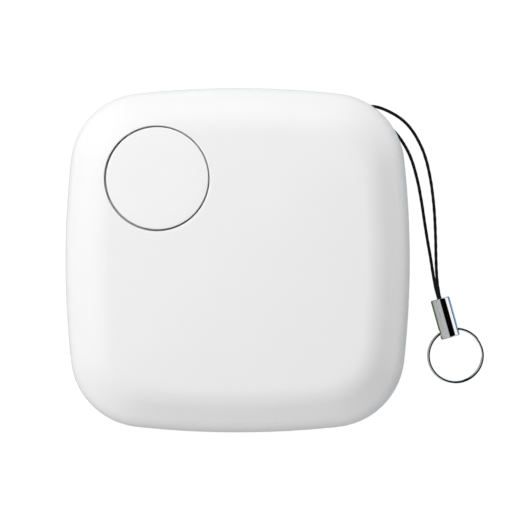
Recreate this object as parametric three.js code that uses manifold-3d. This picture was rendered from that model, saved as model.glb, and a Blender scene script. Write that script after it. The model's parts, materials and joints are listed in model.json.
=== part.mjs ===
// A bluetooth tracker tag: a white rounded-square body with a round push button, a coin cell behind a
// quarter-turn door, and a thin cord that carries a polished barrel and a split ring.
// Millimetres. The tag lies on its back: +Z out of the front face, +Y towards the top edge, +X to the right.
// The origin is the centre of the flat back.
import * as THREE from "three";
import { mergeVertices } from "three/addons/utils/BufferGeometryUtils.js";
import Module from "manifold-3d";

const wasm = await Module();
wasm.setup();

// Body outline: four slightly bowed sides joined by round corners.
const HALF_WIDTH = 21.0;
const SIDE_RADIUS = 112.4;
const CORNER_CENTRE = 11.35;
const SIDE_CENTRE = HALF_WIDTH - SIDE_RADIUS;
const CORNER_RADIUS = SIDE_RADIUS - Math.hypot(CORNER_CENTRE, CORNER_CENTRE - SIDE_CENTRE);
const SIDE_STEPS = 4;
const CORNER_STEPS = 8;

// Front shell: a gently crowned face inside a rim, and a shoulder that falls from the rim to the seam.
const SEAM_Z = 4.6;
const FACE_RIM_Z = 9.15;
const FACE_CROWN = 0.45;
const SHOULDER_RISE = FACE_RIM_Z - SEAM_Z;
const BEVEL_ANGLE = THREE.MathUtils.degToRad(38);
const TIGHT_RADIUS = 3.0; // where the shoulder turns up from the seam
const SOFT_RADIUS = 4.2; // where it meets the face
const ROUND_STEPS = 3;
const ROUNDS_RISE = TIGHT_RADIUS * Math.cos(BEVEL_ANGLE) + SOFT_RADIUS * (1 - Math.cos(BEVEL_ANGLE));
const BEVEL_LENGTH = (SHOULDER_RISE - ROUNDS_RISE) / Math.sin(BEVEL_ANGLE);
const ROUNDS_WIDTH = TIGHT_RADIUS * (1 - Math.sin(BEVEL_ANGLE)) + SOFT_RADIUS * Math.sin(BEVEL_ANGLE);
const SHOULDER_WIDTH = ROUNDS_WIDTH + BEVEL_LENGTH * Math.cos(BEVEL_ANGLE);
const RIM_HALF_WIDTH = HALF_WIDTH - SHOULDER_WIDTH;
const RIM_CORNER_CENTRE = 9.65;
const WALL = 1.2;
const CEILING_Z = 8.2;
const CEILING_INSET = 6.1;

// Rear shell and the lip that joins the two.
const FLOOR_Z = 1.2;
const BACK_INSET = 3.5;
const BACK_STEPS = 6;
const CAVITY_INSET = 1.4;
const CAVITY_FOOT = [[4.2, 0], [2.4, 0.9], [CAVITY_INSET, 2.4]]; // insets and heights above the floor
const LIP_INSET = 0.75;
const LIP_TOP_Z = 5.3;
const LIP_GAP = 0.05;
const SEAT = 0.02; // gap kept between pieces that rest on each other
const PAST = 1.0; // how far a cutting tool reaches past the face it opens
const WELD = 0.4; // how far a joined feature reaches into what carries it

// Push button. Its flat top leans with the face, down towards the near corner.
const BUTTON_X = -9.8;
const BUTTON_Y = 9.93;
const BUTTON_HOLE_RADIUS = 6.41;
const BUTTON_RADIUS = 6.21;
const BUTTON_TOP_Z = 9.18;
const BUTTON_LEAN_DEGREES = 2.7;
const BUTTON_SKIRT_RADIUS = 5.2;
const BUTTON_SKIRT_BOTTOM_Z = 7.15;
const BUTTON_ROOF_Z = 8.1;
const BUTTON_STEM_RADIUS = 1.5;
const BUTTON_STEM_BOTTOM_Z = 7.52;
const FLANGE_RADIUS = 7.1;
const FLANGE_TOP_Z = 7.75;
const FLANGE_POCKET_RADIUS = 7.3;
const FLANGE_POCKET_BOTTOM_Z = 6.1;

// Tact switch under the button.
const SWITCH_HALF_WIDTH = 2.5;
const SWITCH_TOP_Z = 6.92;
const SWITCH_WELL_RADIUS = 1.7;
const SWITCH_WELL_BOTTOM_Z = 6.2;
const SWITCH_COVER_BOTTOM_Z = 6.94;
const SWITCH_COVER_TOP_Z = 7.05;
const SWITCH_COVER_HOLE_RADIUS = 1.1;

// Coin cell, 20 mm across and 3.2 mm thick.
const CELL_RADIUS = 10.0;
const CELL_BOTTOM_Z = 1.35;
const CELL_TOP_Z = 4.55;
const CAN_WALL = 0.25;
const CAN_RIM = 0.3;
const CELL_CAP_RADIUS = 8.99;
const CELL_CAP_BEVEL = 0.2;

// Battery well and quarter-turn door.
const WELL_RADIUS = 10.3;
const WELL_WALL = 1.1;
const WELL_TOP_Z = 4.9;
const DOOR_RADIUS = 11.85;
const DOOR_HOLE_RADIUS = 12.0;
const DOOR_BOTTOM_Z = 0.15;
const DOOR_TOP_Z = 1.18;
const LUG_RADIUS = 12.65;
const LUG_BOTTOM_Z = 0.78;
const LUG_DEGREES = 24;
const LUG_TURN_DEGREES = 30;
const LUG_ANGLES = [90, 210, 330];
const GROOVE_RADIUS = 12.8;
const GROOVE_BOTTOM_Z = 0.7;
const GROOVE_TOP_Z = 1.3;
const NOTCH_RADIUS = 12.75;
const NOTCH_DEGREES = 28;
const LUG_CLEARANCE_DEGREES = 0.6;
const LUG_ROOT_RADIUS = 8.0;
const THRESHOLD_RADIUS = 14.0;
const THRESHOLD_TOP_Z = 2.0;
const SEAL_RADIUS = 11.2;
const SEAL_SECTION = 0.24;
const SEAL_Z = 1.04;
const SEAL_GROOVE_HALF_WIDTH = 0.3;
const COIN_SLOT_HALF_LENGTH = 6.0;
const COIN_SLOT_HALF_WIDTH = 0.7;
const COIN_SLOT_DEPTH = 0.55;

// Circuit board and what holds it.
const BOARD_BOTTOM_Z = 5.2;
const BOARD_TOP_Z = 6.0;
const BOARD_HALF_WIDTH = 17.3;
const SCREWS = [[13.4, -13.4], [-13.4, -13.4], [12.4, 12.4]];
const SCREW_SHANK_RADIUS = 0.7;
const SCREW_TIP_Z = 2.4;
const SCREW_HEAD_RADIUS = 1.5;
const SCREW_HEAD_TOP_Z = 6.7;
const SCREW_HEAD_BEVEL = 0.2;
const SCREW_RECESS_HALF_LENGTH = 0.9;
const SCREW_RECESS_HALF_WIDTH = 0.15;
const SCREW_RECESS_DEPTH = 0.3;
const SCREW_HOLE_RADIUS = 0.76;
const SCREW_HOLE_BOTTOM_Z = 2.2;
const SCREW_CLEARANCE = 0.15;
const BOSS_RADIUS = 1.6;
const POSTS = [[-14.4, -3.0], [14.6, 4.0]];
const POST_RADIUS = 1.0;
const POST_GAP = 0.03;
const CONTACT_NOTCH = { x: [9.9, 11.6], halfWidth: 1.8, bottom: 2.1 };

// Components on the board as length, width, height and place.
const BLUETOOTH_CHIP = [5, 5, 0.85, 3, 7];
const MAIN_CRYSTAL = [3.2, 2.5, 0.8, 8.6, 9];
const CLOCK_CRYSTAL = [3.2, 1.5, 0.8, 8.6, 5.2];
const CHIP_ANTENNA = [5.2, 2, 1.1, 0, -15.4];
const BOOST_INDUCTOR = [3, 3, 1.2, -6.5, -8.5];
const CAPACITOR = [1.6, 0.8, 0.8];
const CAPACITOR_PLACES = [[-0.2, 10.6], [2.4, 11.2], [-6.2, -4.2], [-9.6, -8.5]];

// Sounder.
const PIEZO_X = 6.0;
const PIEZO_Y = -6.0;
const PIEZO_RADIUS = 7.5;
const CERAMIC_RADIUS = 5.2;
const CERAMIC_BOTTOM_Z = 7.64;
const BRASS_BOTTOM_Z = 7.86;
const BRASS_TOP_Z = 8.06;
const ADHESIVE_INNER_RADIUS = 6.2;
const EDGE_CONTACT_OFFSET = 6.3;
const BOND = 0.01; // gap kept where two layers are glued

// Strap anchor: an upright post in a slot that is open to the corner.
const ANCHOR_X = 15.0;
const ANCHOR_Y = 17.4;
const ANCHOR_POST_RADIUS = 0.5;
const ANCHOR_POCKET_RADIUS = 1.45;
const SLOT_BOTTOM_Z = 2.1;
const SLOT_TOP_Z = 3.5;
const SLOT_FROM_DEGREES = -30;
const SLOT_TO_DEGREES = 96;
const SLOT_REACH = 12.0;
const BLOCK_INNER_RADIUS = 4.9;
const BLOCK_DEGREES = [4, 86];

// Cord, barrel and split ring.
const CORD_DIAMETER = 0.4;
const CORD_STEPS = 80;
const CORD_SIDES = 8;
const BARREL_TOP = new THREE.Vector3(24.76, -4.7, 1.2);
const BARREL_DEGREES = 15.7; // from straight down (-Y), towards +X
const BARREL_RADIUS = 1.19;
const BARREL_LENGTH = 4.92;
const BARREL_BORE_RADIUS = 0.5;
const BARREL_BORE_DEPTH = 2.2;
const RING_HOLE_RADIUS = 0.42;
const RING_HOLE_FROM_TOP = 4.06;
const RING_MID_RADIUS = 3.32;
const RING_RADIAL = 0.3;
const RING_AXIAL = 0.4;
const RING_CENTRE_FROM_HOLE = 3.2;
const RING_DROOP_DEGREES = 8.5;

// The cord's route, from inside the barrel up the outer strand, round the post and back down the inner one.
const CORD_ROUTE = [
  [25.03, -5.74, 1.415], [24.75, -4.58, 1.415], [24.49, -3.11, 1.27], [24.35, -1.31, 0.75],
  [24.3, 0.5, 0.32], [24.26, 2.61, 0.205], [24.14, 5.43, 0.205], [23.98, 7.34, 0.205],
  [23.66, 9.75, 0.22], [23.12, 12.2, 0.42], [22.49, 13.91, 0.77], [21.37, 15.87, 1.36],
  [20.15, 17.17, 1.96], [18.29, 18.29, 2.5], [16.6, 18.8, 2.75], [15.2, 18.55, 2.8],
  [14.22, 17.78, 2.8], [14.3, 16.8, 2.8], [15.15, 16.5, 2.8], [16.6, 16.82, 2.8],
  [18.1, 16.55, 2.72], [19.34, 15.54, 2.4], [20.46, 14.0, 1.81], [21.27, 12.35, 1.22],
  [22.03, 9.76, 0.52], [22.51, 7.31, 0.22], [22.88, 4.85, 0.205], [23.27, 2.4, 0.205],
  [23.65, 0.2, 0.27], [23.98, -1.92, 0.52], [24.3, -3.62, 0.84], [24.59, -4.63, 0.985],
  [24.89, -5.77, 0.985],
];

const degrees = THREE.MathUtils.degToRad;

// ---------- shape helpers ----------

// Points round a bowed square with round corners, anticlockwise as seen from the front. One narrower than the
// face's rim is a scaled copy of the rim's size.
function outlinePoints(halfWidth, cornerCentre = CORNER_CENTRE) {
  const sideRadius = Math.max(halfWidth, RIM_HALF_WIDTH) - SIDE_CENTRE;
  const scale = Math.min(1, halfWidth / RIM_HALF_WIDTH);
  const halfSpan = Math.atan2(cornerCentre, cornerCentre - SIDE_CENTRE);
  const cornerRadius = sideRadius - Math.hypot(cornerCentre, cornerCentre - SIDE_CENTRE);
  const points = [];
  const arc = (cx, cy, radius, from, to, steps) => {
    for (let i = 0; i < steps; i += 1) {
      const a = from + ((to - from) * i) / steps;
      const point = new THREE.Vector2(cx + radius * Math.cos(a), cy + radius * Math.sin(a));
      points.push(point.multiplyScalar(scale));
    }
  };
  for (let quarter = 0; quarter < 4; quarter += 1) {
    const turn = (quarter * Math.PI) / 2;
    const cos = Math.round(Math.cos(turn));
    const sin = Math.round(Math.sin(turn));
    const cornerX = cornerCentre * (cos - sin);
    const cornerY = cornerCentre * (cos + sin);
    const start = turn - halfSpan;
    const middle = turn + halfSpan;
    const end = start + Math.PI / 2;
    arc(SIDE_CENTRE * cos, SIDE_CENTRE * sin, sideRadius, start, middle, SIDE_STEPS);
    arc(cornerX, cornerY, cornerRadius, middle, end, CORNER_STEPS);
  }
  return points;
}

// A solid whose cross-sections are bowed squares: a lathe's profile of [half width, z, corner centre] carried
// round them instead of round a circle. It starts on the axis below and ends on the axis above.
function outlineLathe(profile) {
  const points = profile.map(([halfWidth, z]) => new THREE.Vector2(halfWidth, z));
  const steps = 4 * (SIDE_STEPS + CORNER_STEPS);
  const geometry = new THREE.LatheGeometry(points, steps);
  const position = geometry.getAttribute("position");
  profile.forEach(([halfWidth, z, cornerCentre], row) => {
    const outline = outlinePoints(halfWidth, cornerCentre);
    for (let i = 0; i <= steps; i += 1) {
      const { x, y } = outline[i % steps];
      position.setXYZ(i * profile.length + row, x, y, z);
    }
  });
  return geometry;
}

// A round solid about a vertical axis from a profile of [radius, z], listed so that the outside runs upwards.
function turned(profile, segments = 36) {
  const points = profile.map(([radius, z]) => new THREE.Vector2(radius, z));
  return new THREE.LatheGeometry(points, segments).rotateX(Math.PI / 2);
}

function disc(radius, bottom, top, segments = 36) {
  return turned([[0, bottom], [radius, bottom], [radius, top], [0, top]], segments);
}

function tube(inner, outer, bottom, top, segments = 36) {
  return turned([[inner, bottom], [outer, bottom], [outer, top], [inner, top], [inner, bottom]], segments);
}

function box(x0, x1, y0, y1, z0, z1) {
  const geometry = new THREE.BoxGeometry(x1 - x0, y1 - y0, z1 - z0);
  return geometry.translate((x0 + x1) / 2, (y0 + y1) / 2, (z0 + z1) / 2);
}

// A pie slice of a cylinder about the vertical axis.
function sector(inner, outer, from, to, bottom, top, segments = 12) {
  const shape = new THREE.Shape();
  shape.absarc(0, 0, outer, degrees(from), degrees(to), false);
  if (inner > 0) {
    shape.absarc(0, 0, inner, degrees(to), degrees(from), true);
  } else {
    shape.lineTo(0, 0);
  }
  shape.closePath();
  const depth = top - bottom;
  const settings = { depth, bevelEnabled: false, curveSegments: segments };
  return new THREE.ExtrudeGeometry(shape, settings).translate(0, 0, bottom);
}

// A bent strip: its side view in X and Z, extruded along Y.
function strip(outline, y0, y1) {
  const shape = new THREE.Shape(outline.map(([x, z]) => new THREE.Vector2(x, z)));
  const geometry = new THREE.ExtrudeGeometry(shape, { depth: y1 - y0, bevelEnabled: false });
  return geometry.rotateX(Math.PI / 2).translate(0, y1, 0);
}

// ---------- joining and cutting ----------

function solid(geometry) {
  const bare = geometry.clone();
  bare.deleteAttribute("normal");
  bare.deleteAttribute("uv");
  const merged = mergeVertices(bare, 1e-4);
  const triVerts = new Uint32Array(merged.index.array);
  const vertProperties = new Float32Array(merged.getAttribute("position").array);
  return new wasm.Manifold(new wasm.Mesh({ numProp: 3, vertProperties, triVerts }));
}

function geometryOf(manifold) {
  const { vertProperties, triVerts, numProp } = manifold.getMesh();
  const geometry = new THREE.BufferGeometry();
  const positions = new Float32Array((vertProperties.length / numProp) * 3);
  for (let i = 0; i < positions.length / 3; i += 1) {
    positions.set(vertProperties.subarray(i * numProp, i * numProp + 3), i * 3);
  }
  geometry.setAttribute("position", new THREE.BufferAttribute(positions, 3));
  geometry.setIndex(Array.from(triVerts));
  return geometry;
}

// The same disc at several places.
function at(places, radius, bottom, top, segments) {
  return places.map(([x, y]) => disc(radius, bottom, top, segments).translate(x, y, 0));
}

function cut(base, ...tools) {
  return tools.reduce((rest, tool) => rest.subtract(solid(tool)), base);
}

function join(base, ...pieces) {
  return pieces.reduce((whole, piece) => whole.add(solid(piece)), base);
}

// ---------- shells ----------

// The shoulder in section, from the seam up to just short of the face's rim: a tight round, a straight bevel
// and a soft round. A positive wall gives the inner surface, that far inside the outer one.
function shoulderProfile(wall) {
  const rows = [];
  const addRow = (slope, inset, rise) => {
    const cornerCentre = THREE.MathUtils.lerp(CORNER_CENTRE, RIM_CORNER_CENTRE, inset / SHOULDER_WIDTH);
    const halfWidth = HALF_WIDTH - inset - wall * Math.sin(slope);
    rows.push([halfWidth, SEAM_Z + rise - wall * Math.cos(slope), cornerCentre]);
  };
  for (let i = 0; i <= ROUND_STEPS; i += 1) {
    const slope = THREE.MathUtils.lerp(Math.PI / 2, BEVEL_ANGLE, i / ROUND_STEPS);
    addRow(slope, TIGHT_RADIUS * (1 - Math.sin(slope)), TIGHT_RADIUS * Math.cos(slope));
  }
  for (let i = 0; i < ROUND_STEPS; i += 1) {
    const slope = THREE.MathUtils.lerp(BEVEL_ANGLE, 0, i / ROUND_STEPS);
    const drop = SOFT_RADIUS * (1 - Math.cos(slope));
    addRow(slope, SHOULDER_WIDTH - SOFT_RADIUS * Math.sin(slope), SHOULDER_RISE - drop);
  }
  return rows;
}

function facePoint(fraction) {
  return [RIM_HALF_WIDTH * fraction, FACE_RIM_Z + FACE_CROWN * (1 - fraction * fraction), RIM_CORNER_CENTRE];
}

function frontShell() {
  const outside = outlineLathe([
    [0, SEAM_Z],
    ...shoulderProfile(0),
    facePoint(1),
    facePoint(0.75),
    facePoint(0.5),
    facePoint(0.25),
    facePoint(0),
  ]);
  const cavityHalfWidth = HALF_WIDTH - CAVITY_INSET;
  const inside = outlineLathe([
    [0, SEAM_Z - PAST],
    [cavityHalfWidth, SEAM_Z - PAST],
    ...shoulderProfile(WALL).filter(([halfWidth, z]) => z > SEAM_Z && halfWidth < cavityHalfWidth),
    [HALF_WIDTH - CEILING_INSET, CEILING_Z, RIM_CORNER_CENTRE],
    [0, CEILING_Z],
  ]);
  const rebateTop = LIP_TOP_Z + 2 * LIP_GAP;
  const rebateHalfWidth = HALF_WIDTH - LIP_INSET + LIP_GAP;
  const rebate = outlineLathe([
    [0, SEAM_Z - PAST],
    [rebateHalfWidth, SEAM_Z - PAST],
    [rebateHalfWidth, rebateTop],
    [0, rebateTop],
  ]);
  const flangePocket = disc(FLANGE_POCKET_RADIUS, FLANGE_POCKET_BOTTOM_Z, CEILING_Z);
  const buttonHole = disc(BUTTON_HOLE_RADIUS, CEILING_Z - PAST, FACE_RIM_Z + PAST, 64);
  const opening = [flangePocket, buttonHole].map((tool) => tool.translate(BUTTON_X, BUTTON_Y, 0));
  const hollow = cut(solid(outside), inside, rebate, ...opening);
  return geometryOf(join(hollow, ...at(POSTS, POST_RADIUS, BOARD_TOP_Z + POST_GAP, CEILING_Z + WELD, 20)));
}

// Half widths and heights of the rear shell's outer surface, from the flat back up to the seam.
function backProfile() {
  const rows = [];
  for (let i = 0; i <= BACK_STEPS; i += 1) {
    const a = (i / BACK_STEPS) * (Math.PI / 2);
    rows.push([HALF_WIDTH - BACK_INSET * (1 - Math.sin(a)), SEAM_Z * (1 - Math.cos(a))]);
  }
  return rows;
}

function lipRing(cavity) {
  const halfWidth = HALF_WIDTH - LIP_INSET;
  const whole = outlineLathe([
    [0, SEAM_Z - WELD],
    [halfWidth, SEAM_Z - WELD],
    [halfWidth, LIP_TOP_Z],
    [0, LIP_TOP_Z],
  ]);
  return cut(solid(whole), cavity);
}

// Everything that stands on the rear shell's floor stays inside its outer surface and below the lip's top.
function rearLimit() {
  const halfWidth = HALF_WIDTH - CAVITY_INSET;
  const above = [[halfWidth, SEAM_Z], [halfWidth, LIP_TOP_Z], [0, LIP_TOP_Z]];
  return outlineLathe([[0, 0], ...backProfile(), ...above]);
}

function cutDoorway(shell) {
  let open = cut(shell, disc(WELL_RADIUS, GROOVE_BOTTOM_Z, SEAM_Z + PAST));
  open = cut(open, disc(DOOR_HOLE_RADIUS, -PAST, GROOVE_TOP_Z, 72));
  LUG_ANGLES.forEach((angle) => {
    const grooveStart = angle - LUG_DEGREES / 2 - LUG_CLEARANCE_DEGREES;
    const notchStart = angle + LUG_TURN_DEGREES - NOTCH_DEGREES / 2;
    const notchEnd = notchStart + NOTCH_DEGREES;
    const inner = LUG_ROOT_RADIUS;
    const groove = sector(inner, GROOVE_RADIUS, grooveStart, notchEnd, GROOVE_BOTTOM_Z, GROOVE_TOP_Z);
    const notch = sector(inner, NOTCH_RADIUS, notchStart, notchEnd, -PAST, GROOVE_BOTTOM_Z + WELD);
    open = cut(open, groove, notch);
  });
  return open;
}

// The slot is a fan, wide towards the corner, with a round pocket about the post it leaves standing.
function cutStrapAnchor(shell) {
  const fan = sector(0, SLOT_REACH, SLOT_FROM_DEGREES, SLOT_TO_DEGREES, SLOT_BOTTOM_Z, SLOT_TOP_Z, 16);
  const pocket = disc(ANCHOR_POCKET_RADIUS, SLOT_BOTTOM_Z, SLOT_TOP_Z, 32);
  const post = disc(ANCHOR_POST_RADIUS, SLOT_BOTTOM_Z - WELD, SLOT_TOP_Z + WELD, 24);
  [fan, pocket, post].forEach((geometry) => geometry.translate(ANCHOR_X, ANCHOR_Y, 0));
  return join(cut(shell, fan, pocket), post);
}

function rearShell() {
  const cavity = outlineLathe([
    [0, FLOOR_Z],
    ...CAVITY_FOOT.map(([inset, rise]) => [HALF_WIDTH - inset, FLOOR_Z + rise]),
    [HALF_WIDTH - CAVITY_INSET, LIP_TOP_Z + PAST],
    [0, LIP_TOP_Z + PAST],
  ]);
  const root = FLOOR_Z - WELD;
  const [from, to] = BLOCK_DEGREES;
  const block = sector(BLOCK_INNER_RADIUS, CORNER_RADIUS + PAST, from, to, root, SEAM_Z, 8);
  block.translate(CORNER_CENTRE, CORNER_CENTRE, 0);
  const threshold = tube(WELL_RADIUS, THRESHOLD_RADIUS, root, THRESHOLD_TOP_Z);
  const wellWall = tube(WELL_RADIUS, WELL_RADIUS + WELL_WALL, FLOOR_Z, WELL_TOP_Z);
  const bosses = at(SCREWS, BOSS_RADIUS, root, BOARD_BOTTOM_Z - SEAT, 24);
  const screwHoles = at(SCREWS, SCREW_HOLE_RADIUS, SCREW_HOLE_BOTTOM_Z, BOARD_BOTTOM_Z + PAST, 16);
  const { x: [notchFrom, notchTo], halfWidth, bottom } = CONTACT_NOTCH;
  const contactNotch = box(notchFrom, notchTo, -halfWidth, halfWidth, bottom, WELL_TOP_Z + PAST);

  let shell = cut(solid(outlineLathe([[0, 0], ...backProfile(), [0, SEAM_Z]])), cavity);
  shell = join(shell, block, threshold, wellWall, ...bosses).intersect(solid(rearLimit()));
  shell = cutDoorway(shell.add(lipRing(cavity)));
  return geometryOf(cutStrapAnchor(cut(shell, contactNotch, ...screwHoles)));
}

// ---------- button and switch ----------

function buttonCap() {
  const chamfer = 0.15;
  const lean = Math.tan(degrees(BUTTON_LEAN_DEGREES));
  const body = turned([
    [0, BUTTON_STEM_BOTTOM_Z],
    [BUTTON_STEM_RADIUS, BUTTON_STEM_BOTTOM_Z],
    [BUTTON_STEM_RADIUS, BUTTON_ROOF_Z],
    [BUTTON_SKIRT_RADIUS, BUTTON_ROOF_Z],
    [BUTTON_SKIRT_RADIUS, BUTTON_SKIRT_BOTTOM_Z],
    [FLANGE_RADIUS, BUTTON_SKIRT_BOTTOM_Z],
    [FLANGE_RADIUS, FLANGE_TOP_Z],
    [BUTTON_RADIUS, FLANGE_TOP_Z],
    [BUTTON_RADIUS, BUTTON_TOP_Z - chamfer],
    [BUTTON_RADIUS - chamfer, BUTTON_TOP_Z],
    [0, BUTTON_TOP_Z],
  ], 48);
  const position = body.getAttribute("position");
  for (let i = 0; i < position.count; i += 1) {
    const leaning = position.getZ(i) > BUTTON_ROOF_Z + SEAT ? lean : 0;
    const downhill = (position.getY(i) - position.getX(i)) / Math.SQRT2;
    position.setZ(i, position.getZ(i) - leaning * downhill);
  }
  return body;
}

function buttonGasket() {
  return tube(BUTTON_RADIUS + 0.25, FLANGE_RADIUS + 0.1, FLANGE_TOP_Z + 0.05, CEILING_Z - 0.03);
}

function switchBase() {
  const half = SWITCH_HALF_WIDTH;
  const body = solid(box(-half, half, -half, half, BOARD_TOP_Z + SEAT, SWITCH_TOP_Z));
  return geometryOf(cut(body, disc(SWITCH_WELL_RADIUS, SWITCH_WELL_BOTTOM_Z, SWITCH_TOP_Z + PAST, 24)));
}

// A sprung steel dome: its foot rests on the well's floor and its crown under the plunger.
function switchDome() {
  return turned([[0, 6.42], [0.8, 6.37], [1.5, 6.22], [1.6, 6.24], [0.85, 6.45], [0, 6.5]], 24);
}

function switchPlunger() {
  return turned([[0, 6.55], [1.3, 6.55], [1.3, 6.85], [0.95, 6.85], [0.95, 7.5], [0, 7.5]], 24);
}

function switchCover() {
  const half = SWITCH_HALF_WIDTH;
  const plate = solid(box(-half, half, -half, half, SWITCH_COVER_BOTTOM_Z, SWITCH_COVER_TOP_Z));
  const hole = disc(SWITCH_COVER_HOLE_RADIUS, SWITCH_COVER_BOTTOM_Z - PAST, SWITCH_COVER_TOP_Z + PAST, 24);
  return geometryOf(cut(plate, hole));
}

// ---------- battery, door and contacts ----------

function batteryDoor() {
  let door = solid(disc(DOOR_RADIUS, DOOR_BOTTOM_Z, DOOR_TOP_Z, 72));
  LUG_ANGLES.forEach((angle) => {
    const start = angle - LUG_DEGREES / 2;
    const end = start + LUG_DEGREES;
    door = join(door, sector(LUG_ROOT_RADIUS, LUG_RADIUS, start, end, LUG_BOTTOM_Z, DOOR_TOP_Z, 6));
  });
  const grooveInner = SEAL_RADIUS - SEAL_GROOVE_HALF_WIDTH;
  const grooveOuter = SEAL_RADIUS + SEAL_GROOVE_HALF_WIDTH;
  const sealGroove = tube(grooveInner, grooveOuter, SEAL_Z - SEAL_SECTION - SEAT, DOOR_TOP_Z + PAST, 72);
  const length = COIN_SLOT_HALF_LENGTH;
  const width = COIN_SLOT_HALF_WIDTH;
  const coinSlot = box(-length, length, -width, width, -PAST, DOOR_BOTTOM_Z + COIN_SLOT_DEPTH);
  return geometryOf(cut(door, sealGroove, coinSlot));
}

function doorSeal() {
  const profile = [];
  for (let i = 0; i <= 6; i += 1) {
    const a = (i / 6) * Math.PI * 2;
    profile.push([SEAL_RADIUS + SEAL_SECTION * Math.cos(a), SEAL_Z + SEAL_SECTION * Math.sin(a)]);
  }
  return turned(profile);
}

function cellCan() {
  return turned([
    [0, CELL_BOTTOM_Z],
    [CELL_RADIUS - CAN_WALL, CELL_BOTTOM_Z],
    [CELL_RADIUS, CELL_BOTTOM_Z + CAN_WALL],
    [CELL_RADIUS, CELL_TOP_Z - CELL_CAP_BEVEL],
    [CELL_RADIUS - CAN_RIM, CELL_TOP_Z - CELL_CAP_BEVEL],
    [CELL_RADIUS - CAN_RIM, CELL_BOTTOM_Z + CAN_WALL],
    [0, CELL_BOTTOM_Z + CAN_WALL],
  ]);
}

function cellGasket() {
  const bottom = CELL_BOTTOM_Z + CAN_WALL + 0.03;
  return tube(CELL_CAP_RADIUS + 0.03, CELL_RADIUS - CAN_RIM - 0.03, bottom, CELL_TOP_Z - 0.12);
}

function cellCap() {
  return turned([
    [0, CELL_BOTTOM_Z + CAN_WALL + 0.03],
    [CELL_CAP_RADIUS, CELL_BOTTOM_Z + CAN_WALL + 0.03],
    [CELL_CAP_RADIUS, CELL_TOP_Z - CELL_CAP_BEVEL],
    [CELL_CAP_RADIUS - CELL_CAP_BEVEL, CELL_TOP_Z],
    [0, CELL_TOP_Z],
  ]);
}

function negativeContact() {
  const underside = [[-9, 5.02], [-5, 5.02], [2, 4.6], [4.2, 4.78]];
  const top = [[4.1, 4.93], [2, 4.76], [-4.8, 5.18], [-9, 5.18]];
  return strip([...underside, ...top], -2, 2);
}

function positiveContact() {
  const outline = [[10.08, 2.2], [10.28, 2.2], [10.28, 4.98], [13.2, 4.98], [13.2, 5.18], [10.08, 5.18]];
  return strip(outline, -1.5, 1.5);
}

// ---------- circuit board ----------

function board() {
  const plate = solid(outlineLathe([
    [0, BOARD_BOTTOM_Z],
    [BOARD_HALF_WIDTH, BOARD_BOTTOM_Z],
    [BOARD_HALF_WIDTH, BOARD_TOP_Z],
    [0, BOARD_TOP_Z],
  ]));
  const radius = SCREW_SHANK_RADIUS + SCREW_CLEARANCE;
  return geometryOf(cut(plate, ...at(SCREWS, radius, BOARD_BOTTOM_Z - PAST, BOARD_TOP_Z + PAST, 16)));
}

function screw() {
  const seat = BOARD_TOP_Z + SEAT;
  const body = solid(turned([
    [0, SCREW_TIP_Z],
    [SCREW_SHANK_RADIUS, SCREW_TIP_Z + 0.4],
    [SCREW_SHANK_RADIUS, seat],
    [SCREW_HEAD_RADIUS, seat],
    [SCREW_HEAD_RADIUS, SCREW_HEAD_TOP_Z - SCREW_HEAD_BEVEL],
    [SCREW_HEAD_RADIUS - 0.3, SCREW_HEAD_TOP_Z],
    [0, SCREW_HEAD_TOP_Z],
  ], 24));
  const length = SCREW_RECESS_HALF_LENGTH;
  const width = SCREW_RECESS_HALF_WIDTH;
  const bottom = SCREW_HEAD_TOP_Z - SCREW_RECESS_DEPTH;
  const top = SCREW_HEAD_TOP_Z + PAST;
  const slot = box(-length, length, -width, width, bottom, top);
  const cross = box(-width, width, -length, length, bottom, top);
  return geometryOf(cut(body, slot, cross));
}

function chip(length, width, height) {
  const bottom = BOARD_TOP_Z + SEAT;
  return box(-length / 2, length / 2, -width / 2, width / 2, bottom, bottom + height);
}

// A spring leaf on the board: a flat foot, and an arm that rises to touch the sounder at the origin.
function piezoContact(top) {
  const foot = BOARD_TOP_Z + SEAT;
  const thickness = 0.15;
  return strip([
    [-3.8, foot],
    [-2.6, foot],
    [-0.35, top - thickness],
    [0.4, top - thickness],
    [0.75, top - 0.36],
    [0.9, top - 0.28],
    [0.45, top],
    [-0.4, top],
    [-2.7, foot + thickness],
    [-3.8, foot + thickness],
  ], -0.6, 0.6);
}

// ---------- strap ----------

function strapCord() {
  const route = new THREE.CatmullRomCurve3(CORD_ROUTE.map((p) => new THREE.Vector3(...p)));
  const corners = [];
  for (let i = 0; i < CORD_SIDES; i += 1) {
    const a = (i / CORD_SIDES) * Math.PI * 2;
    corners.push(new THREE.Vector2(Math.cos(a), Math.sin(a)).multiplyScalar(CORD_DIAMETER / 2));
  }
  const settings = { steps: CORD_STEPS, bevelEnabled: false, extrudePath: route };
  return new THREE.ExtrudeGeometry(new THREE.Shape(corners), settings);
}

// The barrel stands along its own axis, open end at the origin, and is laid down by the strap's group.
function strapFerrule() {
  const chamfer = 0.18;
  const body = solid(turned([
    [0, -BARREL_LENGTH],
    [BARREL_RADIUS - chamfer, -BARREL_LENGTH],
    [BARREL_RADIUS, -BARREL_LENGTH + chamfer],
    [BARREL_RADIUS, -chamfer],
    [BARREL_RADIUS - chamfer, 0],
    [0, 0],
  ], 32));
  const bore = disc(BARREL_BORE_RADIUS, -BARREL_BORE_DEPTH, PAST, 20);
  const reach = BARREL_RADIUS + PAST;
  const ringHole = disc(RING_HOLE_RADIUS, -reach, reach, 20).rotateY(Math.PI / 2);
  ringHole.translate(0, 0, -RING_HOLE_FROM_TOP);
  return geometryOf(cut(body, bore, ringHole));
}

function splitRing() {
  const half = RING_RADIAL / 2;
  return tube(RING_MID_RADIUS - half, RING_MID_RADIUS + half, -RING_AXIAL / 2, RING_AXIAL / 2, 40);
}

// ---------- materials and assembly ----------

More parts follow.
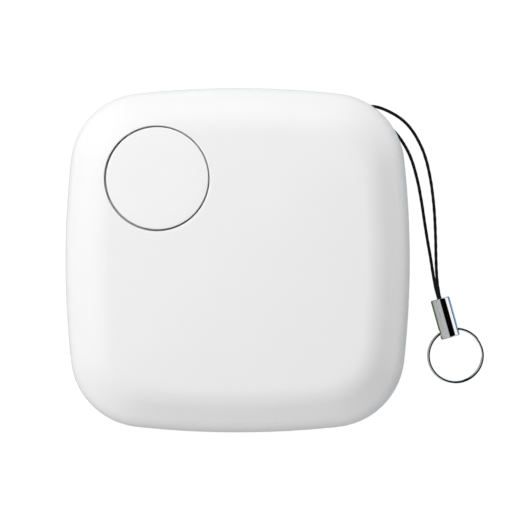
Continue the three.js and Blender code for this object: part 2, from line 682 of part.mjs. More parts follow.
const whitePlastic = () => new THREE.MeshStandardMaterial({ color: 0xf2f2f3, roughness: 0.45, metalness: 0 });
const darkRubber = () => new THREE.MeshStandardMaterial({ color: 0x2a2a2c, roughness: 0.8, metalness: 0 });
const palePlastic = () => new THREE.MeshStandardMaterial({ color: 0xd9d9d4, roughness: 0.5, metalness: 0 });
const boardGreen = () => new THREE.MeshStandardMaterial({ color: 0x1d5a38, roughness: 0.5, metalness: 0 });
const blackPlastic = () => new THREE.MeshStandardMaterial({ color: 0x1b1b1d, roughness: 0.5, metalness: 0 });
const ceramicTan = () => new THREE.MeshStandardMaterial({ color: 0xb09a78, roughness: 0.6, metalness: 0 });
const ceramicWhite = () => new THREE.MeshStandardMaterial({ color: 0xe6e2d6, roughness: 0.6, metalness: 0 });
const steel = () => new THREE.MeshStandardMaterial({ color: 0xb8babd, roughness: 0.3, metalness: 1 });
const chrome = () => new THREE.MeshStandardMaterial({ color: 0xe8e8ea, roughness: 0.05, metalness: 1 });
const brass = () => new THREE.MeshStandardMaterial({ color: 0xc9a24b, roughness: 0.35, metalness: 1 });
const blackCord = () => new THREE.MeshStandardMaterial({ color: 0x0c0c0d, roughness: 0.8, metalness: 0 });

function piece(name, geometry, material, x = 0, y = 0) {
  const mesh = new THREE.Mesh(geometry, material);
  mesh.name = name;
  mesh.position.set(x, y, 0);
  return mesh;
}

function housing() {
  const group = new THREE.Group();
  group.add(piece("front_shell", frontShell(), whitePlastic()));
  group.add(piece("rear_shell", rearShell(), whitePlastic()));
  group.add(piece("battery_door", batteryDoor(), whitePlastic()));
  group.add(piece("door_seal", doorSeal(), darkRubber()));
  return group;
}

function buttonAndSwitch() {
  const group = new THREE.Group();
  group.position.set(BUTTON_X, BUTTON_Y, 0);
  group.add(piece("button_cap", buttonCap(), whitePlastic()));
  group.add(piece("button_gasket", buttonGasket(), darkRubber()));
  group.add(piece("switch_base", switchBase(), blackPlastic()));
  group.add(piece("switch_dome", switchDome(), steel()));
  group.add(piece("switch_plunger", switchPlunger(), blackPlastic()));
  group.add(piece("switch_cover", switchCover(), steel()));
  return group;
}

function battery() {
  const group = new THREE.Group();
  group.add(piece("cell_can", cellCan(), steel()));
  group.add(piece("cell_gasket", cellGasket(), palePlastic()));
  group.add(piece("cell_cap", cellCap(), steel()));
  group.add(piece("negative_contact", negativeContact(), brass()));
  group.add(piece("positive_contact", positiveContact(), brass()));
  return group;
}

function electronics() {
  const group = new THREE.Group();
  group.add(piece("circuit_board", board(), boardGreen()));
  SCREWS.forEach(([x, y], i) => group.add(piece(`board_screw_${i + 1}`, screw(), steel(), x, y)));
  const mount = (name, [length, width, height, x, y], material) => {
    group.add(piece(name, chip(length, width, height), material, x, y));
  };
  mount("bluetooth_chip", BLUETOOTH_CHIP, blackPlastic());
  mount("main_crystal", MAIN_CRYSTAL, steel());
  mount("clock_crystal", CLOCK_CRYSTAL, steel());
  mount("chip_antenna", CHIP_ANTENNA, ceramicWhite());
  mount("boost_inductor", BOOST_INDUCTOR, blackPlastic());
  CAPACITOR_PLACES.forEach((place, i) => {
    mount(`capacitor_${i + 1}`, [...CAPACITOR, ...place], ceramicTan());
  });
  return group;
}

function sounder() {
  const group = new THREE.Group();
  group.position.set(PIEZO_X, PIEZO_Y, 0);
  const adhesive = tube(ADHESIVE_INNER_RADIUS, PIEZO_RADIUS, BRASS_TOP_Z + BOND, CEILING_Z - SEAT);
  group.add(piece("piezo_adhesive", adhesive, darkRubber()));
  group.add(piece("piezo_disc", disc(PIEZO_RADIUS, BRASS_BOTTOM_Z, BRASS_TOP_Z), brass()));
  const ceramic = disc(CERAMIC_RADIUS, CERAMIC_BOTTOM_Z, BRASS_BOTTOM_Z - BOND);
  group.add(piece("piezo_ceramic", ceramic, ceramicWhite()));
  group.add(piece("piezo_contact_centre", piezoContact(CERAMIC_BOTTOM_Z - SEAT), brass()));
  const edgeLeaf = piezoContact(BRASS_BOTTOM_Z - SEAT);
  const edgeContact = piece("piezo_contact_edge", edgeLeaf, brass(), EDGE_CONTACT_OFFSET);
  edgeContact.rotation.z = Math.PI;
  group.add(edgeContact);
  return group;
}

function strap() {
  const group = new THREE.Group();
  group.add(piece("strap_cord", strapCord(), blackCord()));
  const barrel = new THREE.Group();
  barrel.position.copy(BARREL_TOP);
  barrel.rotation.set(0, 0, degrees(BARREL_DEGREES));
  const upright = new THREE.Group();
  upright.rotation.x = -Math.PI / 2;
  upright.add(piece("strap_ferrule", strapFerrule(), chrome()));
  barrel.add(upright);
  const ring = new THREE.Group();
  ring.position.set(0, -RING_HOLE_FROM_TOP, 0);
  ring.rotation.x = degrees(RING_DROOP_DEGREES);
  const ringMesh = piece("split_ring", splitRing(), chrome());
  ringMesh.position.y = -RING_CENTRE_FROM_HOLE;
  ring.add(ringMesh);
  barrel.add(ring);
  group.add(barrel);
  return group;
}

const tag = new THREE.Group();
tag.add(housing(), buttonAndSwitch(), battery(), electronics(), sounder(), strap());

export default tag;
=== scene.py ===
import math

import bmesh
import bpy
import numpy as np
from mathutils import Matrix, Vector
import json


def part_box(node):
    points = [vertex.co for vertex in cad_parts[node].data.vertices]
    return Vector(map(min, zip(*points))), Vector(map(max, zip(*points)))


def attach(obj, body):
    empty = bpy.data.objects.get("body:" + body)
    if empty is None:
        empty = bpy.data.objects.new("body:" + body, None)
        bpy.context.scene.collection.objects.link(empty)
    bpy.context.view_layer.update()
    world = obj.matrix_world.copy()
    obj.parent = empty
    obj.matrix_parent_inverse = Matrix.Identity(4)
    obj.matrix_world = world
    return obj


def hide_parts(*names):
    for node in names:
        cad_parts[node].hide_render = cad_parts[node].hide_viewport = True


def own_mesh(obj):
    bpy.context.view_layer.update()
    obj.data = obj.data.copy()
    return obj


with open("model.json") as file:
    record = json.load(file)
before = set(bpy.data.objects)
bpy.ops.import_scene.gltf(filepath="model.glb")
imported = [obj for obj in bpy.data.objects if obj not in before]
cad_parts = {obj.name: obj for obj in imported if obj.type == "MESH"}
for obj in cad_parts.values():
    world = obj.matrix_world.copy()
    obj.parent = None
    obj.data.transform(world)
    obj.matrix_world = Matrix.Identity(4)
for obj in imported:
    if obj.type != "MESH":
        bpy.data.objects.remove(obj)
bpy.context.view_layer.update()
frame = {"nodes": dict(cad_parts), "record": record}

MM = 0.001

# ---------- sizes, in millimetres, from the frame where it has them ----------


def box_mm(node):
    low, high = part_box(node)
    return np.array(low) / MM, np.array(high) / MM


def joint(name):
    return next(j for j in frame["record"]["behaviour"]["joints"] if j["name"] == name)


front_low, front_high = box_mm("front_shell")
cap_low, cap_high = box_mm("button_cap")
door_low, door_high = box_mm("battery_door")

# Body outline: four slightly bowed sides joined by round corners.
HALF_WIDTH = front_high[0]
SIDE_RADIUS = 112.4
CORNER_CENTRE = 11.35
SIDE_CENTRE = HALF_WIDTH - SIDE_RADIUS
SIDE_HALF_SPAN = math.atan2(CORNER_CENTRE, CORNER_CENTRE - SIDE_CENTRE)
CORNER_RADIUS = SIDE_RADIUS - math.hypot(CORNER_CENTRE, CORNER_CENTRE - SIDE_CENTRE)
OUTLINE_COUNT = 320

SEAM_Z = front_low[2]
CROWN_Z = front_high[2]
FACE_CROWN = 0.45
# The shoulder in section: a tight round up from the seam, a straight bevel and a soft round into the face.
BEVEL_ANGLE = math.radians(38)
TIGHT_RADIUS = 3.0
SOFT_RADIUS = 4.2
SHOULDER_RISE = CROWN_Z - FACE_CROWN - SEAM_Z
ROUNDS_RISE = TIGHT_RADIUS * math.cos(BEVEL_ANGLE) + SOFT_RADIUS * (1 - math.cos(BEVEL_ANGLE))
BEVEL_LENGTH = (SHOULDER_RISE - ROUNDS_RISE) / math.sin(BEVEL_ANGLE)
ROUNDS_WIDTH = TIGHT_RADIUS * (1 - math.sin(BEVEL_ANGLE)) + SOFT_RADIUS * math.sin(BEVEL_ANGLE)
SHOULDER_WIDTH = ROUNDS_WIDTH + BEVEL_LENGTH * math.cos(BEVEL_ANGLE)
RIM_HALF_WIDTH = HALF_WIDTH - SHOULDER_WIDTH
RIM_CORNER_CENTRE = 9.65
WALL = 1.2
CEILING_Z = 8.2
FLOOR_Z = 1.2
BACK_INSET = 3.5
CAVITY_INSET = 1.4
LIP_INSET = 0.75
LIP_TOP_Z = 5.3
LIP_GAP = 0.05
SEAM_CHAMFER = 0.06
EDGE_CHAMFER = 0.12

BUTTON = (cap_low[:2] + cap_high[:2]) / 2
BUTTON_RADIUS = 6.21
BUTTON_LEAN = math.tan(math.radians(2.7))  # the flat top leans with the face, down towards the near corner
BUTTON_TOP_Z = cap_high[2] - BUTTON_RADIUS * BUTTON_LEAN
BUTTON_EDGE_ROUND = 0.16
BUTTON_ROOF_Z = 8.1
BUTTON_SKIRT_RADIUS = 5.2
BUTTON_SKIRT_BOTTOM_Z = 7.15
BUTTON_STEM_RADIUS = 1.5
BUTTON_STEM_BOTTOM_Z = 7.52
BUTTON_HOLE_RADIUS = 6.41
BUTTON_HOLE_ROUND = 0.1
CAP_PLAY = np.array((0.05, 0.02))  # the cap sits a little off centre in its hole, within the clearance
FLANGE_RADIUS = (cap_high[0] - cap_low[0]) / 2
FLANGE_TOP_Z = 7.75
FLANGE_POCKET_RADIUS = 7.3
FLANGE_POCKET_ROOF_Z = CEILING_Z + 0.03

# The switch's sprung dome, which keeps this part of its height when the button is down.
DOME_RADIUS = 1.6
DOME_FOOT_Z = 6.22
DOME_RISE = 0.2
DOME_THICKNESS = 0.08

DOOR_BOTTOM_Z = door_low[2]
DOOR_TOP_Z = door_high[2]
DOOR_RADIUS = 11.85
DOOR_HOLE_RADIUS = 12.0
WELL_RADIUS = 10.3
WELL_WALL = 1.1
WELL_TOP_Z = 4.9
LUG_RADIUS = 12.65
LUG_BOTTOM_Z = 0.78
LUG_DEGREES = 24
LUG_TURN_DEGREES = joint("door_turn")["range_deg"][1]
LUG_ANGLES = (90, 210, 330)
GROOVE_RADIUS = 12.8
GROOVE_BOTTOM_Z = 0.7
GROOVE_TOP_Z = 1.3
NOTCH_RADIUS = 12.75
NOTCH_DEGREES = 28
SHOULDER_RING_RADIUS = 14.0
SHOULDER_RING_TOP_Z = 2.0
LUG_CLEARANCE_DEGREES = 0.6
SEAL_RADIUS = 11.2
SEAL_GROOVE_HALF_WIDTH = 0.3
COIN_SLOT_HALF_LENGTH = 5.3
COIN_SLOT_HALF_WIDTH = 0.7
COIN_SLOT_DEPTH = 0.55

BOARD_BOTTOM_Z = 5.2
BOARD_TOP_Z = 6.0
SCREWS = ((13.4, -13.4), (-13.4, -13.4), (12.4, 12.4))
SCREW_HOLE_RADIUS = 0.76
SCREW_HOLE_BOTTOM_Z = 2.2
BOSS_RADIUS = 1.6
POSTS = ((-14.4, -3.0), (14.6, 4.0))
POST_RADIUS = 1.0
CONTACT_NOTCH = (9.9, 11.6, -1.8, 1.8, 2.1, WELL_TOP_Z + 0.5)

ANCHOR = np.array(joint("strap_swing")["pos_m"][:2]) / MM
ANCHOR_POST_RADIUS = 0.5
ANCHOR_POCKET_RADIUS = 1.45
SLOT_BOTTOM_Z = 2.1
SLOT_TOP_Z = 3.5
SLOT_FROM_DEGREES = -30
SLOT_TO_DEGREES = 96
SLOT_REACH = 12.0
BLOCK_INNER_RADIUS = 4.9
PAST = 1.0  # how far a cutting tool reaches past what it cuts

CORD_DIAMETER = 0.4
CORD_YARNS = 4
CORD_PITCH = 1.1
CORD_SIDES = 16
CORD_STEP = 0.07
YARN_RELIEF = 0.07  # how much of the radius the hollows between the yarns take
BARREL_RADIUS = 1.19
BARREL_LENGTH = 4.92
BARREL_EDGE_ROUND = 0.16
BARREL_MOUTH_CHAMFER = 0.08
BARREL_BORE_RADIUS = 0.5
BARREL_BORE_DEPTH = 2.2
RING_HOLE = np.array(joint("ring_swing")["pos_m"]) / MM
RING_HOLE_RADIUS = 0.42
RING_HOLE_FROM_TOP = 4.06
ACROSS_BARREL = -np.array(joint("ring_swing")["axis"])
RING_MID_RADIUS = 3.32
RING_WIRE_RADIAL = 0.27
RING_WIRE_ROUND = 0.04
RING_TURN_SHIFT = 0.06  # the lower turn lies this much to one side of the upper one
RING_AXIAL = 0.4
RING_TURNS_APART = 0.008
RING_ENDS_DEGREES = (20, 698)
RING_RAMP_DEGREES = (340, 379)
RING_CENTRE_FROM_HOLE = 3.2
RING_DROOP_DEGREES = 8.5

# The cord's route, from inside the barrel up the outer strand, round the post and back down the inner one.
CORD_ROUTE = [
    (25.03, -5.74, 1.415), (24.75, -4.58, 1.415), (24.49, -3.11, 1.27), (24.35, -1.31, 0.75),
    (24.3, 0.5, 0.32), (24.26, 2.61, 0.205), (24.14, 5.43, 0.205), (23.98, 7.34, 0.205),
    (23.66, 9.75, 0.22), (23.12, 12.2, 0.42), (22.49, 13.91, 0.77), (21.37, 15.87, 1.36),
    (20.15, 17.17, 1.96), (18.29, 18.29, 2.5), (16.6, 18.8, 2.75), (15.2, 18.55, 2.8),
    (14.22, 17.78, 2.8), (14.3, 16.8, 2.8), (15.15, 16.5, 2.8), (16.6, 16.82, 2.8),
    (18.1, 16.55, 2.72), (19.34, 15.54, 2.4), (20.46, 14.0, 1.81), (21.27, 12.35, 1.22),
    (22.03, 9.76, 0.52), (22.51, 7.31, 0.22), (22.88, 4.85, 0.205), (23.27, 2.4, 0.205),
    (23.65, 0.2, 0.27), (23.98, -1.92, 0.52), (24.3, -3.62, 0.84), (24.59, -4.63, 0.985),
    (24.89, -5.77, 0.985),
]

# ---------- camera ----------

IMAGE_WIDTH_MM = 63.45  # what the picture spans at the height of the body's widest line
VIEW_CENTRE = (2.727, 0.03)
LENS = 500.0


def make_camera():
    data = bpy.data.cameras.new("camera")
    data.lens = LENS
    distance = IMAGE_WIDTH_MM * MM * LENS / data.sensor_width
    data.clip_start = 0.01
    data.clip_end = 10.0
    camera = bpy.data.objects.new("camera", data)
    camera.location = (VIEW_CENTRE[0] * MM, VIEW_CENTRE[1] * MM, SEAM_Z * MM + distance)
    bpy.context.scene.collection.objects.link(camera)
    bpy.context.scene.camera = camera


make_camera()

# ---------- materials ----------


class Nodes:
    """A short way to write a material's node tree."""

    def __init__(self, tree):
        self.tree = tree

    def add(self, kind, inputs=None, **settings):
        node = self.tree.nodes.new(kind)
        for key, value in settings.items():
            setattr(node, key, value)
        for key, value in (inputs or {}).items():
            if isinstance(value, bpy.types.NodeSocket):
                self.tree.links.new(value, node.inputs[key])
            else:
                node.inputs[key].default_value = value
        return node

    def math(self, operation, a, b=0.0):
        return self.add("ShaderNodeMath", {0: a, 1: b}, operation=operation).outputs[0]

    def noise(self, vector, scale, detail=2.0, roughness=0.5):
        inputs = {"Vector": vector, "Scale": scale, "Detail": detail, "Roughness": roughness}
        return self.add("ShaderNodeTexNoise", inputs).outputs["Fac"]

    def ramp(self, value, stops):
        node = self.add("ShaderNodeValToRGB", {"Fac": value})
        elements = node.color_ramp.elements
        while len(elements) < len(stops):
            elements.new(0.5)
        for element, (position, colour) in zip(elements, stops):
            element.position = position
            element.color = (*colour, 1.0)
        return node.outputs["Color"]

    def spread(self, value, low, high):
        return self.add("ShaderNodeMapRange", {"Value": value, "To Min": low, "To Max": high}).outputs[0]


def new_material(name):
    material = bpy.data.materials.new(name)
    material.use_nodes = True
    tree = material.node_tree
    tree.nodes.clear()
    nodes = Nodes(tree)
    output = nodes.add("ShaderNodeOutputMaterial")
    shader = nodes.add("ShaderNodeBsdfPrincipled")
    tree.links.new(shader.outputs[0], output.inputs["Surface"])
    place = nodes.add("ShaderNodeTexCoord").outputs["Object"]
    return material, nodes, shader, place


def link(nodes, value, shader, key):
    nodes.tree.links.new(value, shader.inputs[key])


def bump(nodes, shader, height, distance, strength=1.0):
    inputs = {"Height": height, "Distance": distance, "Strength": strength}
    normal = nodes.add("ShaderNodeBump", inputs).outputs["Normal"]
    link(nodes, normal, shader, "Normal")


def shade(colour, factor):
    return tuple(min(1.0, c * factor) for c in colour)


def moulded(name, colour, roughness, variation, grain=0.0000012, grain_scale=9000.0, shine=0.5):
    """Moulded plastic or fired ceramic: a fine spark-eroded grain, faint flow in the colour, uneven gloss."""
    material, nodes, shader, place = new_material(name)
    flow = nodes.noise(place, 180.0, 3.0)
    stops = [(0.3, shade(colour, 1 - variation)), (0.7, shade(colour, 1 + variation))]
    link(nodes, nodes.ramp(flow, stops), shader, "Base Color")
    gloss = nodes.noise(place, 900.0, 2.0)
    link(nodes, nodes.spread(gloss, roughness - 0.04, roughness + 0.04), shader, "Roughness")
    bump(nodes, shader, nodes.noise(place, grain_scale, 3.0), grain)
    shader.inputs["Specular IOR Level"].default_value = shine
    return material


def metal(name, colour, roughness):
    """Bare metal with fine drawn or polishing lines and a slightly uneven gloss."""
    material, nodes, shader, place = new_material(name)
    shader.inputs["Metallic"].default_value = 1.0
    stretched = nodes.add("ShaderNodeMapping", {"Vector": place, "Scale": (1.0, 1.0, 0.04)}).outputs[0]
    lines = nodes.noise(stretched, 14000.0, 2.0)
    stops = [(0.3, shade(colour, 0.96)), (0.7, shade(colour, 1.03))]
    link(nodes, nodes.ramp(lines, stops), shader, "Base Color")
    smudge = nodes.noise(place, 700.0, 2.0)
    link(nodes, nodes.spread(smudge, roughness * 0.75, roughness * 1.25), shader, "Roughness")
    bump(nodes, shader, lines, 0.0000004)
    return material


def board_laminate(name, colour):
    """Solder mask over copper tracks, with bare tinned pads."""
    material, nodes, shader, place = new_material(name)
    cells = nodes.add("ShaderNodeTexVoronoi", {"Vector": place, "Scale": 420.0}, distance="MANHATTAN")
    tracks = nodes.math("LESS_THAN", nodes.math("PINGPONG", cells.outputs["Distance"], 0.12), 0.045)
    pads = nodes.math("LESS_THAN", cells.outputs["Distance"], 0.07)
    mask = nodes.ramp(tracks, [(0.0, colour), (1.0, shade(colour, 1.8))])
    mixed = nodes.add("ShaderNodeMix", {0: pads, 6: mask, 7: (0.62, 0.55, 0.38, 1.0)}, data_type="RGBA")
    link(nodes, mixed.outputs[2], shader, "Base Color")
    link(nodes, pads, shader, "Metallic")
    link(nodes, nodes.spread(nodes.noise(place, 2500.0), 0.3, 0.45), shader, "Roughness")
    bump(nodes, shader, tracks, 0.00002, 0.6)
    return material


def braided_cord(name):
    """Black waxed yarn: fine fibres, a slightly paler nap and almost no gloss."""
    material, nodes, shader, place = new_material(name)
    fibres = nodes.noise(place, 26000.0, 3.0, 0.6)
    stops = [(0.35, (0.002, 0.002, 0.002)), (0.75, (0.014, 0.014, 0.015))]
    link(nodes, nodes.ramp(fibres, stops), shader, "Base Color")
    link(nodes, nodes.spread(fibres, 0.65, 0.9), shader, "Roughness")
    shader.inputs["Specular IOR Level"].default_value = 0.2
    shader.inputs["Sheen Weight"].default_value = 0.05
    shader.inputs["Sheen Roughness"].default_value = 0.4
    bump(nodes, shader, fibres, 0.000006)
    return material


MATERIALS = {
    "shell_white": moulded("shell_white", (0.87, 0.87, 0.87), 0.42, 0.004, shine=0.2),
    # button_white is a touch lighter than shell_white. This is painted light: it brightens the cap's flat top
    # the way a tilt towards the soft boxes would.
    "button_white": moulded("button_white", (0.89, 0.89, 0.89), 0.42, 0.004, shine=0.2),
    "dark_rubber": moulded("dark_rubber", (0.03, 0.03, 0.032), 0.75, 0.15, grain=0.000004, grain_scale=5000.0),
    "steel": metal("steel", (0.62, 0.63, 0.65), 0.3),
    "cell_filling": metal("cell_filling", (0.7, 0.71, 0.73), 0.26),
    "pale_plastic": moulded("pale_plastic", (0.6, 0.6, 0.55), 0.5, 0.04),
    "brass": metal("brass", (0.78, 0.58, 0.27), 0.28),
    "black_plastic": moulded("black_plastic", (0.02, 0.02, 0.022), 0.5, 0.2),
    "board_green": board_laminate("board_green", (0.012, 0.11, 0.04)),
    "pale_ceramic": moulded("pale_ceramic", (0.75, 0.72, 0.64), 0.55, 0.05),
    "tan_ceramic": moulded("tan_ceramic", (0.42, 0.3, 0.18), 0.5, 0.1),
    "black_cord": braided_cord("black_cord"),
    "polished_metal": metal("polished_metal", (0.9, 0.9, 0.92), 0.06),
}


def dress_cad_nodes():
    slots = {row["node"]: row["material_slot"] for row in frame["record"]["subparts"]}
    for name, node in frame["nodes"].items():
        node.data.materials.clear()
        node.data.materials.append(MATERIALS[slots[name]])


dress_cad_nodes()

# ---------- mesh helpers, in millimetres ----------


def make_object(name, vertices, faces):
    mesh = bpy.data.meshes.new(name)
    mesh.from_pydata([tuple(v) for v in vertices], [], faces)
    shaped = bmesh.new()
    shaped.from_mesh(mesh)
    bmesh.ops.remove_doubles(shaped, verts=shaped.verts, dist=1e-5)
    bmesh.ops.dissolve_degenerate(shaped, edges=shaped.edges, dist=1e-5)
    bmesh.ops.recalc_face_normals(shaped, faces=shaped.faces)
    shaped.to_mesh(mesh)
    shaped.free()
    made = bpy.data.objects.new(name, mesh)
    bpy.context.scene.collection.objects.link(made)
    return made


def grid_faces(rows, columns, close_rows):
    faces = []
    for r in range(rows if close_rows else rows - 1):
        below = r * columns
        above = ((r + 1) % rows) * columns
        for c in range(columns):
            after = (c + 1) % columns
            faces.append((below + c, below + after, above + after, above + c))
    return faces


def ring_solid(name, rings):
    """A closed solid from rings of points, each joined to the next and the last one to the first."""
    stacked = np.array(rings)
    rows, columns = stacked.shape[:2]
    return make_object(name, stacked.reshape(-1, 3), grid_faces(rows, columns, True))


def tube_solid(name, rings):
    """A solid along a line from rings of points, with a flat cap at each end."""
    around = len(rings[0])
    vertices = np.concatenate(rings)
    faces = grid_faces(len(rings), around, False)
    faces.append(tuple(range(around - 1, -1, -1)))
    faces.append(tuple(range(len(vertices) - around, len(vertices))))
    return make_object(name, vertices, faces)


def lathe(name, profile, centre=(0.0, 0.0), count=128):
    """A round solid about a vertical axis. The profile of (radius, z) starts and ends on the axis."""
    inner = profile[1:-1]
    angles = np.linspace(0, 2 * math.pi, count, endpoint=False)
    vertices = [(centre[0], centre[1], profile[0][1])]
    for radius, z in inner:
        for a in angles:
            vertices.append((centre[0] + radius * math.cos(a), centre[1] + radius * math.sin(a), z))
    vertices.append((centre[0], centre[1], profile[-1][1]))
    faces = [tuple(i + 1 for i in face) for face in grid_faces(len(inner), count, False)]
    last = len(vertices) - 1
    top = 1 + (len(inner) - 1) * count
    for c in range(count):
        after = (c + 1) % count
        faces.append((0, 1 + after, 1 + c))
        faces.append((last, top + c, top + after))
    return make_object(name, vertices, faces)


def disc(radius, bottom, top, centre=(0.0, 0.0), count=96):
    return lathe("tool", [(0, bottom), (radius, bottom), (radius, top), (0, top)], centre, count)


def prism(outline, bottom, top):
    count = len(outline)
    vertices = [(x, y, bottom) for x, y in outline] + [(x, y, top) for x, y in outline]
    faces = [tuple(range(count - 1, -1, -1)), tuple(range(count, 2 * count))]
    for i in range(count):
        after = (i + 1) % count
        faces.append((i, after, count + after, count + i))
    return make_object("tool", vertices, faces)


def sector(inner, outer, start, end, bottom, top, centre=(0.0, 0.0), steps=48):
    angles = np.radians(np.linspace(start, end, steps + 1))
    outline = [(centre[0] + outer * math.cos(a), centre[1] + outer * math.sin(a)) for a in angles]
    if inner > 0:
        outline += [(centre[0] + inner * math.cos(a), centre[1] + inner * math.sin(a)) for a in angles[::-1]]
    else:
        outline.append(tuple(centre))
    return prism(outline, bottom, top)


def block(x0, x1, y0, y1, z0, z1):
    return prism([(x0, y0), (x1, y0), (x1, y1), (x0, y1)], z0, z1)


def combine(target, operation, *tools):
    """Joins tools to a solid, or cuts them out of it, and removes them."""
    for tool in tools:
        modifier = target.modifiers.new("combine", "BOOLEAN")
        modifier.object = tool
        modifier.operation = operation
        modifier.solver = "MANIFOLD"
        graph = bpy.context.evaluated_depsgraph_get()
        mesh = bpy.data.meshes.new_from_object(target.evaluated_get(graph))
        target.modifiers.clear()
        old = target.data
        target.data = mesh
        bpy.data.meshes.remove(old)
        bpy.data.objects.remove(tool)
    return target


def finish_piece(piece, body, slot, replaces, smooth_degrees=32):
    """Scales a piece from millimetres, shades it, gives it its material and puts it on its body."""
    piece.data.transform(Matrix.Scale(MM, 4))
    piece.data.materials.clear()
    piece.data.materials.append(MATERIALS[slot])
    piece.data.shade_smooth()
    piece.data.set_sharp_from_angle(angle=math.radians(smooth_degrees))
    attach(piece, body)
    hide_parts(*replaces)
    return piece


# ---------- the body's shape ----------


def outline_rays():
    """Evenly spaced points of the outline as (centre, radius, direction), anticlockwise from the right side."""
    side_length = 2 * SIDE_HALF_SPAN * SIDE_RADIUS
    corner_span = math.pi / 2 - 2 * SIDE_HALF_SPAN
    quarter_length = side_length + corner_span * CORNER_RADIUS
    rays = []
    for i in range(OUTLINE_COUNT):
        quarter, rest = divmod(i * 4 * quarter_length / OUTLINE_COUNT, quarter_length)
        turn = quarter * math.pi / 2
        cos, sin = round(math.cos(turn)), round(math.sin(turn))
        if rest < side_length:
            centre, radius = (SIDE_CENTRE, 0.0), SIDE_RADIUS
            angle = -SIDE_HALF_SPAN + rest / SIDE_RADIUS
        else:
            centre, radius = (CORNER_CENTRE, CORNER_CENTRE), CORNER_RADIUS
            angle = SIDE_HALF_SPAN + (rest - side_length) / CORNER_RADIUS
        x = centre[0] * cos - centre[1] * sin
        y = centre[0] * sin + centre[1] * cos
        rays.append((x, y, radius, math.cos(angle + turn), math.sin(angle + turn)))
    return np.array(rays)


RAYS = outline_rays()


def outline_at(inset):
    reach = (RAYS[:, 2] - inset)[:, None]
    return RAYS[:, :2] + reach * RAYS[:, 3:5]


def inset_of(points, half_width=HALF_WIDTH, corner_centre=CORNER_CENTRE):
    """How far inside a bowed square with round corners each point is. The outline is the usual one."""
    ax, ay = np.abs(points[:, 0]), np.abs(points[:, 1])
    vx, vy = ax - corner_centre, ay - corner_centre
    side_radius = half_width - SIDE_CENTRE
    half_span = math.atan2(corner_centre, corner_centre - SIDE_CENTRE)
    corner_radius = side_radius - math.hypot(corner_centre, corner_centre - SIDE_CENTRE)
    angle = np.arctan2(vy, vx)
    corner = (angle > half_span) & (angle < math.pi / 2 - half_span)
    side = side_radius - np.hypot(np.maximum(ax, ay) - SIDE_CENTRE, np.minimum(ax, ay))
    return np.where(corner, corner_radius - np.hypot(vx, vy), side)


def shoulder_section(wall=0.0, steps=80):
    """Insets and heights up the shoulder from the seam to the face's rim, a wall inside the outer surface."""
    tight = np.linspace(math.pi / 2, BEVEL_ANGLE, steps)
    soft = np.linspace(BEVEL_ANGLE, 0, steps)
    tight_inset = TIGHT_RADIUS * (1 - np.sin(tight))
    tight_rise = TIGHT_RADIUS * np.cos(tight)
    soft_inset = SHOULDER_WIDTH - SOFT_RADIUS * np.sin(soft)
    soft_rise = SHOULDER_RISE - SOFT_RADIUS * (1 - np.cos(soft))
    slope = np.concatenate([tight, soft])
    inset = np.concatenate([tight_inset, soft_inset]) + wall * np.sin(slope)
    rise = np.concatenate([tight_rise, soft_rise]) - wall * np.cos(slope)
    return inset, SEAM_Z + rise


def face_height(points):
    """The height of the front shell's outer surface: a gentle dome, then a shoulder past its rim."""
    within = np.maximum(inset_of(points), 0.0)
    past_rim = np.maximum(-inset_of(points, RIM_HALF_WIDTH, RIM_CORNER_CENTRE), 0.0)
    out = past_rim / (past_rim + within + 1e-9)
    inset, height = shoulder_section()
    fall = np.interp(SHOULDER_WIDTH * (1 - out), inset, (height - SEAM_Z) / SHOULDER_RISE)
    spread = (points[:, 0] ** 4 + points[:, 1] ** 4) ** 0.5 / RIM_HALF_WIDTH**2
    top = CROWN_Z - FACE_CROWN * spread
    return SEAM_Z + (top - SEAM_Z) * fall


def at_height(points, z):
    return np.column_stack([points, np.broadcast_to(z, len(points))])


def circle_towards(points, centre, radius):
    """For each point, where the line from the centre to it meets a circle."""
    away = points - centre
    return centre + radius * away / np.linalg.norm(away, axis=1)[:, None]


